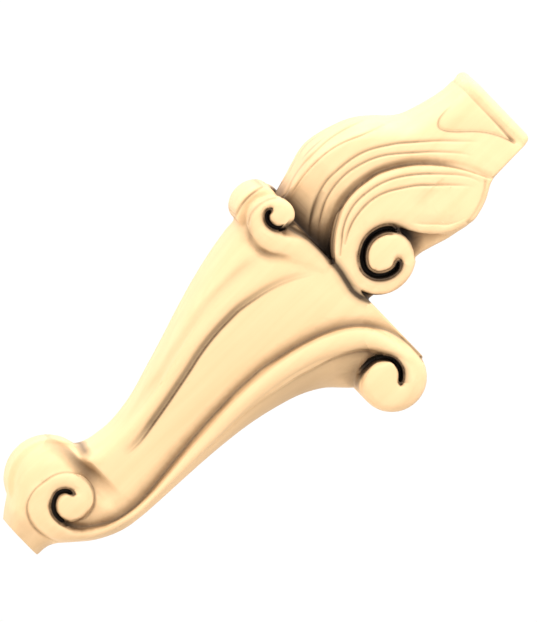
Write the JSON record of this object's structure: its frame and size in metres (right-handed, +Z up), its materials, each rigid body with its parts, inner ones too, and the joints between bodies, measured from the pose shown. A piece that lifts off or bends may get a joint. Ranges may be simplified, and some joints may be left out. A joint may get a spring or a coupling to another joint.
{
  "type": "wooden corbel bracket",
  "caption": "Carved wooden corbel bracket: a scrolled, ribbed bracket with a fluted leaf curling into a volute under a square cap.",
  "frame": {"origin": "centre of the cap's flat top face, where the bracket meets what it carries", "axes": "+Z up, -Y to the front, +Y to the back where the ledge and the big scroll are, X across, with both sides alike"},
  "size_m": [0.0846, 0.1698, 0.404],
  "materials": {
    "wood": "pale, smooth, hand-carved limewood with a soft satin oil finish"
  },
  "bodies": {
    "root": {"corbel_bracket": "wood"}
  },
  "joints": []
}
